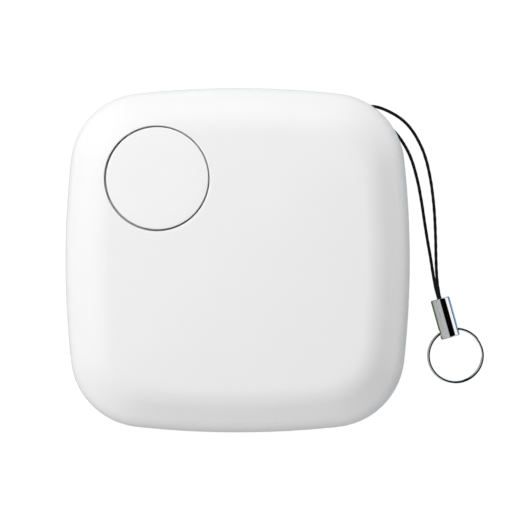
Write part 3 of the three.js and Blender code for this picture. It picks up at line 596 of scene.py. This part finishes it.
def front_shell():
    """From the seam over the face to the button's hole, then back down inside to the rebate over the lip."""
    insets = np.concatenate([shoulder_section(steps=10)[0][:10], np.arange(1.1, 2.3, 0.18)])
    rings = [at_height(outline_at(SEAM_CHAMFER), SEAM_Z)]
    rings.append(at_height(outline_at(0.0), SEAM_Z + SEAM_CHAMFER))
    for inset in insets[1:]:
        flat = outline_at(inset)
        rings.append(at_height(flat, face_height(flat)))
    start = outline_at(insets[-1])
    rim = circle_towards(start, BUTTON, BUTTON_HOLE_RADIUS + BUTTON_HOLE_ROUND)
    for step in (np.arange(1, 61) / 60) ** 1.2:
        flat = start + (rim - start) * step
        rings.append(at_height(flat, face_height(flat)))
    rim_z = face_height(rim)
    for out, drop in ((0.045, 0.015), (0.015, 0.045), (0.0, BUTTON_HOLE_ROUND)):
        rings.append(at_height(circle_towards(start, BUTTON, BUTTON_HOLE_RADIUS + out), rim_z - drop))
    hole = circle_towards(start, BUTTON, BUTTON_HOLE_RADIUS)
    pocket = circle_towards(start, BUTTON, FLANGE_POCKET_RADIUS)
    rings.append(at_height(hole, FLANGE_POCKET_ROOF_Z))
    rings.append(at_height(pocket, FLANGE_POCKET_ROOF_Z))
    inner_inset, inner_height = shoulder_section(WALL)

    def inner_z(flat):
        return np.minimum(np.interp(inset_of(flat), inner_inset, inner_height), CEILING_Z)

    end = outline_at(CAVITY_INSET + 0.6)
    for step in np.linspace(0, 1, 25):
        flat = pocket + (end - pocket) * step
        rings.append(at_height(flat, inner_z(flat)))
    rebate_top = LIP_TOP_Z + 0.1
    rebate = LIP_INSET - LIP_GAP
    for inset in (1.8, 1.6, CAVITY_INSET):
        flat = outline_at(inset)
        rings.append(at_height(flat, np.maximum(inner_z(flat), rebate_top + 0.02)))
    rings.append(at_height(outline_at(CAVITY_INSET), rebate_top))
    rings.append(at_height(outline_at(rebate), rebate_top))
    rings.append(at_height(outline_at(rebate), SEAM_Z))
    shell = ring_solid("front_cover", rings)
    posts = [disc(POST_RADIUS, BOARD_TOP_Z + 0.03, CEILING_Z + 0.3, at, 32) for at in POSTS]
    combine(shell, "UNION", *posts)
    return finish_piece(shell, "case", "shell_white", ["front_shell"])


def rear_shell():
    """From the seam round the back to the door's hole and the cell's well, then up inside to the lip."""
    rings = [at_height(outline_at(LIP_INSET), SEAM_Z)]
    rings.append(at_height(outline_at(SEAM_CHAMFER), SEAM_Z))
    for a in np.linspace(0.02, math.pi / 2, 28):
        inset = BACK_INSET * (1 - math.cos(a))
        rings.append(at_height(outline_at(inset), SEAM_Z * (1 - math.sin(a))))
    start = outline_at(BACK_INSET)

    def round_ring(radius, z):
        rings.append(at_height(circle_towards(start, np.zeros(2), radius), z))

    round_ring(DOOR_HOLE_RADIUS + EDGE_CHAMFER, 0.0)
    round_ring(DOOR_HOLE_RADIUS, EDGE_CHAMFER)
    round_ring(DOOR_HOLE_RADIUS, GROOVE_TOP_Z)
    round_ring(WELL_RADIUS, GROOVE_TOP_Z)
    round_ring(WELL_RADIUS, WELL_TOP_Z)
    round_ring(WELL_RADIUS + WELL_WALL, WELL_TOP_Z)
    round_ring(WELL_RADIUS + WELL_WALL, SHOULDER_RING_TOP_Z)
    round_ring(SHOULDER_RING_RADIUS, SHOULDER_RING_TOP_Z)
    round_ring(SHOULDER_RING_RADIUS, FLOOR_Z)
    inside_wall = [(4.2, FLOOR_Z), (2.4, FLOOR_Z + 0.9), (CAVITY_INSET, FLOOR_Z + 2.4)]
    inside_wall.append((CAVITY_INSET, LIP_TOP_Z))
    for inset, z in inside_wall:
        rings.append(at_height(outline_at(inset), z))
    rings.append(at_height(outline_at(LIP_INSET + 0.1), LIP_TOP_Z))
    rings.append(at_height(outline_at(LIP_INSET), LIP_TOP_Z - 0.1))
    shell = ring_solid("rear_cover", rings)

    corner = (CORNER_CENTRE, CORNER_CENTRE)
    corner_block = sector(BLOCK_INNER_RADIUS, CORNER_RADIUS - 1.0, 4, 86, FLOOR_Z - 0.5, SEAM_Z, corner)
    bosses = [disc(BOSS_RADIUS, FLOOR_Z - 0.4, BOARD_BOTTOM_Z - 0.02, at, 40) for at in SCREWS]
    combine(shell, "UNION", corner_block, *bosses)
    for angle in LUG_ANGLES:
        notch_centre = angle + LUG_TURN_DEGREES
        start_angle = angle - LUG_DEGREES / 2 - LUG_CLEARANCE_DEGREES
        notch = (notch_centre - NOTCH_DEGREES / 2, notch_centre + NOTCH_DEGREES / 2)
        groove = sector(8, GROOVE_RADIUS, start_angle, notch[1], GROOVE_BOTTOM_Z, GROOVE_TOP_Z)
        opening = sector(8, NOTCH_RADIUS, notch[0], notch[1], -PAST, GROOVE_BOTTOM_Z + 0.1)
        combine(shell, "DIFFERENCE", groove, opening)
    screw_holes = [disc(SCREW_HOLE_RADIUS, SCREW_HOLE_BOTTOM_Z, BOARD_BOTTOM_Z + PAST, at, 24) for at in SCREWS]
    contact_notch = block(*CONTACT_NOTCH)
    slot = sector(0, SLOT_REACH, SLOT_FROM_DEGREES, SLOT_TO_DEGREES, SLOT_BOTTOM_Z, SLOT_TOP_Z, ANCHOR)
    pocket = disc(ANCHOR_POCKET_RADIUS, SLOT_BOTTOM_Z, SLOT_TOP_Z, ANCHOR, 64)
    combine(shell, "DIFFERENCE", contact_notch, slot, pocket, *screw_holes)
    post = disc(ANCHOR_POST_RADIUS, SLOT_BOTTOM_Z - 0.3, SLOT_TOP_Z + 0.3, ANCHOR, 48)
    combine(shell, "UNION", post)
    return finish_piece(shell, "case", "shell_white", ["rear_shell"])


def button_cap():
    """A stem over the switch, a hollow skirt with a flange, and a flat top that leans."""
    edge = BUTTON_EDGE_ROUND
    profile = [(0, BUTTON_STEM_BOTTOM_Z), (BUTTON_STEM_RADIUS, BUTTON_STEM_BOTTOM_Z)]
    profile += [(BUTTON_STEM_RADIUS, BUTTON_ROOF_Z), (BUTTON_SKIRT_RADIUS, BUTTON_ROOF_Z)]
    profile += [(BUTTON_SKIRT_RADIUS, BUTTON_SKIRT_BOTTOM_Z), (FLANGE_RADIUS, BUTTON_SKIRT_BOTTOM_Z)]
    profile += [(FLANGE_RADIUS, FLANGE_TOP_Z), (BUTTON_RADIUS, FLANGE_TOP_Z)]
    for a in np.linspace(0, math.pi / 2, 7):
        profile.append((BUTTON_RADIUS - edge * (1 - math.cos(a)), BUTTON_TOP_Z - edge * (1 - math.sin(a))))
    profile += [(4.0, BUTTON_TOP_Z), (2.0, BUTTON_TOP_Z), (0, BUTTON_TOP_Z)]
    cap = lathe("push_button", profile, BUTTON + CAP_PLAY, 160)
    for vertex in cap.data.vertices:
        if vertex.co.z > BUTTON_ROOF_Z + 0.1:
            downhill = (vertex.co.y - BUTTON[1] - vertex.co.x + BUTTON[0]) / math.sqrt(2)
            vertex.co.z -= BUTTON_LEAN * downhill
    return finish_piece(cap, "button", "button_white", ["button_cap"])


def snap_dome():
    """The switch's sprung dome, made in its raised shape. The plunger would flatten it as the button goes down,
    but nothing here does.
    """
    angles = np.linspace(0, math.pi / 2, 9)
    under = [(DOME_RADIUS * math.sin(a), DOME_FOOT_Z + DOME_RISE * math.cos(a)) for a in angles]
    over = [(radius, z + DOME_THICKNESS) for radius, z in reversed(under)]
    dome = lathe("snap_dome", under + over, BUTTON, 96)
    finish_piece(dome, "case", "steel", ["switch_dome"])
    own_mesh(dome)


def battery_door():
    """A disc with a seal's groove inside, three bayonet lugs on its edge and a coin slot outside."""
    rim = DOOR_RADIUS - EDGE_CHAMFER
    groove_inner = SEAL_RADIUS - SEAL_GROOVE_HALF_WIDTH
    groove_outer = SEAL_RADIUS + SEAL_GROOVE_HALF_WIDTH
    profile = [(0, DOOR_BOTTOM_Z), (rim, DOOR_BOTTOM_Z), (DOOR_RADIUS, DOOR_BOTTOM_Z + EDGE_CHAMFER)]
    profile += [(DOOR_RADIUS, DOOR_TOP_Z), (groove_outer, DOOR_TOP_Z), (groove_outer, LUG_BOTTOM_Z)]
    profile += [(groove_inner, LUG_BOTTOM_Z), (groove_inner, DOOR_TOP_Z), (0, DOOR_TOP_Z)]
    door = lathe("coin_door", profile, count=160)
    half = LUG_DEGREES / 2
    lugs = [
        sector(SEAL_RADIUS + 0.4, LUG_RADIUS, a - half, a + half, LUG_BOTTOM_Z, DOOR_TOP_Z)
        for a in LUG_ANGLES
    ]
    combine(door, "UNION", *lugs)
    length, width = COIN_SLOT_HALF_LENGTH, COIN_SLOT_HALF_WIDTH
    depth = DOOR_BOTTOM_Z + COIN_SLOT_DEPTH
    slot_ends = [disc(width, -PAST, depth, (x, 0), 32) for x in (-length, length)]
    combine(door, "DIFFERENCE", block(-length, length, -width, width, -PAST, depth), *slot_ends)
    return finish_piece(door, "door", "shell_white", ["battery_door"])


# ---------- strap ----------

ALONG_BARREL = np.array([ACROSS_BARREL[1], -ACROSS_BARREL[0], 0.0])  # from the cord's end to the ring's
UP = np.array([0.0, 0.0, 1.0])
BARREL_TOP = RING_HOLE - RING_HOLE_FROM_TOP * ALONG_BARREL


def between(t, start, end, first, last):
    """The point that t picks between two, as it goes from start to end."""
    return (end - t) / (end - start) * first + (t - start) / (end - start) * last


def spline(points, spacing):
    """A centripetal curve through the points, resampled at even spacing."""
    points = np.array(points, float)
    ends = np.vstack([2 * points[0] - points[1], points, 2 * points[-1] - points[-2]])
    fine = []
    for i in range(len(points) - 1):
        p = ends[i : i + 4]
        knots = np.concatenate([[0.0], np.cumsum(np.linalg.norm(np.diff(p, axis=0), axis=1) ** 0.5)])
        for t in np.linspace(knots[1], knots[2], 24, endpoint=False):
            a = [between(t, knots[k], knots[k + 1], p[k], p[k + 1]) for k in range(3)]
            b = [between(t, knots[k], knots[k + 2], a[k], a[k + 1]) for k in range(2)]
            fine.append(between(t, knots[1], knots[2], b[0], b[1]))
    fine.append(points[-1])
    fine = np.array(fine)
    length = np.concatenate([[0.0], np.cumsum(np.linalg.norm(np.diff(fine, axis=0), axis=1))])
    count = int(round(length[-1] / spacing)) + 1
    even = np.linspace(0, length[-1], count)
    return np.column_stack([np.interp(even, length, fine[:, k]) for k in range(3)]), length[-1]


def frames_along(line):
    """Two directions across a line at each of its points, which turn as little as they can."""
    forward = np.gradient(line, axis=0)
    forward /= np.linalg.norm(forward, axis=1)[:, None]
    side = np.cross(forward[0], UP)
    sides = []
    for f in forward:
        side = side - f * side.dot(f)
        side = side / np.linalg.norm(side)
        sides.append(side)
    sides = np.array(sides)
    return sides, np.cross(forward, sides)


def strap_cord():
    """A plaited cord: two families of yarns wind opposite ways round it and cross."""
    line, length = spline(CORD_ROUTE, CORD_STEP)
    side, other = frames_along(line)
    angles = np.linspace(0, 2 * math.pi, CORD_SIDES, endpoint=False)
    along = np.arange(len(line)) * CORD_STEP
    rings = []
    for i, centre in enumerate(line):
        twist = 2 * math.pi * along[i] / CORD_PITCH
        yarn = np.maximum(np.cos(CORD_YARNS * angles - twist), np.cos(CORD_YARNS * angles + twist))
        radius = CORD_DIAMETER / 2 * (1 - YARN_RELIEF + YARN_RELIEF * yarn)
        spokes = np.cos(angles)[:, None] * side[i] + np.sin(angles)[:, None] * other[i]
        rings.append(centre + radius[:, None] * spokes)
    cord = tube_solid("plaited_cord", rings)
    finish_piece(cord, "strap", "black_cord", ["strap_cord"], 80)
    return cord, line, length


def strap_ferrule():
    """A polished barrel. It is turned upright with its open end up, then laid along its own axis."""
    edge = BARREL_EDGE_ROUND
    angles = np.linspace(0, math.pi / 2, 7)
    profile = [(0, -BARREL_LENGTH)]
    for a in angles:
        profile.append((BARREL_RADIUS - edge + edge * math.sin(a), -BARREL_LENGTH + edge - edge * math.cos(a)))
    for a in angles:
        profile.append((BARREL_RADIUS - edge + edge * math.cos(a), -edge + edge * math.sin(a)))
    mouth = BARREL_MOUTH_CHAMFER
    profile += [(BARREL_BORE_RADIUS + mouth, 0), (BARREL_BORE_RADIUS, -mouth)]
    profile += [(BARREL_BORE_RADIUS, -BARREL_BORE_DEPTH), (0, -BARREL_BORE_DEPTH)]
    barrel = lathe("crimp_barrel", profile, count=96)
    cross = disc(RING_HOLE_RADIUS, -3, 3, count=40)
    turn = Matrix.Translation((0, 0, -RING_HOLE_FROM_TOP)) @ Matrix.Rotation(math.pi / 2, 4, "Y")
    cross.data.transform(turn)
    combine(barrel, "DIFFERENCE", cross)
    lay = Matrix((ACROSS_BARREL, UP, -ALONG_BARREL)).transposed().to_4x4()
    barrel.data.transform(Matrix.Translation(BARREL_TOP) @ lay)
    if lay.determinant() < 0:
        barrel.data.flip_normals()
    return finish_piece(barrel, "strap", "polished_metal", ["strap_ferrule"])


def split_ring():
    """Two flat turns of sprung wire. Each end lies beside the ramp where the wire climbs to the other turn."""
    start, end = np.radians(RING_ENDS_DEGREES)
    ramp_start, ramp_end = np.radians(RING_RAMP_DEGREES)
    angles = np.linspace(start, end, 260)
    climb = np.clip((angles - ramp_start) / (ramp_end - ramp_start), 0, 1)
    climb = climb * climb * (3 - 2 * climb)
    turn_gap = RING_AXIAL / 4
    wire_half = turn_gap - RING_TURNS_APART / 2
    radial_half = RING_WIRE_RADIAL / 2
    corner = RING_WIRE_ROUND
    section = []
    for quarter in range(4):
        sign_r = (1, -1, -1, 1)[quarter]
        sign_z = (1, 1, -1, -1)[quarter]
        for k in range(3):
            a = quarter * math.pi / 2 + k * math.pi / 4
            section.append((
                sign_r * (radial_half - corner) + corner * math.cos(a),
                sign_z * (wire_half - corner) + corner * math.sin(a),
            ))
    droop = math.radians(RING_DROOP_DEGREES)
    down = ALONG_BARREL * math.cos(droop) - UP * math.sin(droop)
    up = ALONG_BARREL * math.sin(droop) + UP * math.cos(droop)
    centre = RING_HOLE + RING_CENTRE_FROM_HOLE * down
    rings = []
    for a, c in zip(angles, climb):
        out = ACROSS_BARREL * math.cos(a) + down * math.sin(a)
        level = turn_gap * (2 * c - 1)
        middle = centre - ACROSS_BARREL * RING_TURN_SHIFT * (1 - c) + up * level
        rings.append([middle + out * (RING_MID_RADIUS + r) + up * z for r, z in section])
    ring = tube_solid("key_ring", rings)
    return finish_piece(ring, "ring", "polished_metal", ["split_ring"])


# ---------- making the object ----------

cord, cord_line, cord_length = strap_cord()
barrel = strap_ferrule()
ring = split_ring()
front_shell()
rear_shell()
button_cap()
snap_dome()
battery_door()

# ---------- floor, light and surroundings ----------

FLOOR_HALF_SIZE = 1.2
FLOOR_BELOW = 0.00002  # a hair under the object, so that no two faces share a place


def make_floor():
    """A plain pale floor. It is nearly white to the eye, softer in what it throws back on the object."""
    size = FLOOR_HALF_SIZE
    mesh = bpy.data.meshes.new("floor")
    corners = [(-size, -size, 0), (size, -size, 0), (size, size, 0), (-size, size, 0)]
    mesh.from_pydata(corners, [], [(0, 1, 2, 3)])
    floor = bpy.data.objects.new("floor", mesh)
    floor.location.z = -FLOOR_BELOW
    bpy.context.scene.collection.objects.link(floor)
    material = bpy.data.materials.new("floor")
    material.use_nodes = True
    tree = material.node_tree
    tree.nodes.clear()
    nodes = Nodes(tree)
    rays = nodes.add("ShaderNodeLightPath").outputs
    seen = nodes.add("ShaderNodeEmission", {"Color": (1, 1, 1, 1), "Strength": 0.985})
    thrown = nodes.add("ShaderNodeEmission", {"Color": (1, 1, 1, 1), "Strength": 0.52})
    shaders = {0: rays["Is Camera Ray"], 1: thrown.outputs[0], 2: seen.outputs[0]}
    mixed = nodes.add("ShaderNodeMixShader", shaders)
    dull = nodes.add("ShaderNodeBsdfDiffuse", {"Color": (0.05, 0.05, 0.05, 1)})
    total = nodes.add("ShaderNodeAddShader", {0: mixed.outputs[0], 1: dull.outputs[0]})
    output = nodes.add("ShaderNodeOutputMaterial")
    tree.links.new(total.outputs[0], output.inputs["Surface"])
    mesh.materials.append(material)
    floor.visible_glossy = False


# Soft boxes round the object: degrees anticlockwise from its right side, degrees above the floor, and watts.
SOFTBOXES = [
    (135, 66, 1.37),
    (135, 42, 0.61),
    (135, 18, 0.13),
    (90, 18, 0.76),
    (180, 18, 0.14),
    (225, 18, 0.78),
    (0, 18, 0.45),
    (0, 42, 0.15),
    (315, 18, 0.2),
    (270, 18, 0.2),
]
SOFTBOX_DISTANCE = 0.5
SOFTBOX_DIAMETER = 0.3


def make_softboxes():
    """Round soft boxes that face the object. The polished metal mirrors the painted bands instead of them."""
    for azimuth, elevation, watts in SOFTBOXES:
        data = bpy.data.lights.new("softbox", "AREA")
        data.shape = "DISK"
        data.size = SOFTBOX_DIAMETER
        data.energy = watts
        box = bpy.data.objects.new("softbox", data)
        level = math.cos(math.radians(elevation))
        away = Vector((
            level * math.cos(math.radians(azimuth)),
            level * math.sin(math.radians(azimuth)),
            math.sin(math.radians(elevation)),
        ))
        box.location = SOFTBOX_DISTANCE * away
        box.rotation_euler = away.to_track_quat("Z", "Y").to_euler()
        box.visible_glossy = False
        bpy.context.scene.collection.objects.link(box)


# What polished metal mirrors, by angle across the barrel from straight up: a grey wall on the left with
# greenery under it, a dark gap overhead, a white soft box on the right and blue under that.
MIRRORED_BANDS = [
    (-180, (0.08, 0.14, 0.05)),
    (-116, (0.08, 0.14, 0.05)),
    (-106, (0.5, 0.5, 0.5)),
    (-10, (0.5, 0.5, 0.5)),
    (-5, (0.002, 0.002, 0.002)),
    (60, (0.002, 0.002, 0.002)),
    (64, (1.0, 1.0, 1.0)),
    (104, (1.0, 1.0, 1.0)),
    (107, (0.01, 0.03, 0.06)),
    (120, (0.01, 0.03, 0.06)),
    (126, (0.25, 0.45, 0.68)),
    (180, (0.35, 0.5, 0.65)),
]


def make_world():
    """Pale to the eye and the painted bands to anything glossy. The soft boxes alone light the rest."""
    world = bpy.data.worlds.new("studio")
    bpy.context.scene.world = world
    world.use_nodes = True
    tree = world.node_tree
    tree.nodes.clear()
    nodes = Nodes(tree)
    direction = nodes.add("ShaderNodeTexCoord").outputs["Generated"]
    across = nodes.add("ShaderNodeVectorMath", {0: direction, 1: tuple(ACROSS_BARREL)}, operation="DOT_PRODUCT")
    height = nodes.add("ShaderNodeSeparateXYZ", {0: direction}).outputs["Z"]
    angle = nodes.math("ARCTAN2", across.outputs["Value"], height)
    whole_turn = {0: angle, 1: 0.5 / math.pi, 2: 0.5}
    turn = nodes.add("ShaderNodeMath", whole_turn, operation="MULTIPLY_ADD").outputs[0]
    bands = nodes.ramp(turn, [((degrees + 180) / 360, colour) for degrees, colour in MIRRORED_BANDS])
    mirrored = nodes.add("ShaderNodeBackground", {"Color": bands, "Strength": 1.0})
    rays = nodes.add("ShaderNodeLightPath").outputs
    pale = nodes.add("ShaderNodeBackground", {"Color": (1, 1, 1, 1), "Strength": rays["Is Camera Ray"]})
    shaders = {0: rays["Is Glossy Ray"], 1: pale.outputs[0], 2: mirrored.outputs[0]}
    mixed = nodes.add("ShaderNodeMixShader", shaders)
    output = nodes.add("ShaderNodeOutputWorld")
    tree.links.new(mixed.outputs[0], output.inputs["Surface"])


make_floor()
make_softboxes()
make_world()
bpy.context.scene.view_settings.view_transform = "Standard"

# ---------- a last step that only imports json -----


def write_sizes():
    import json


write_sizes()
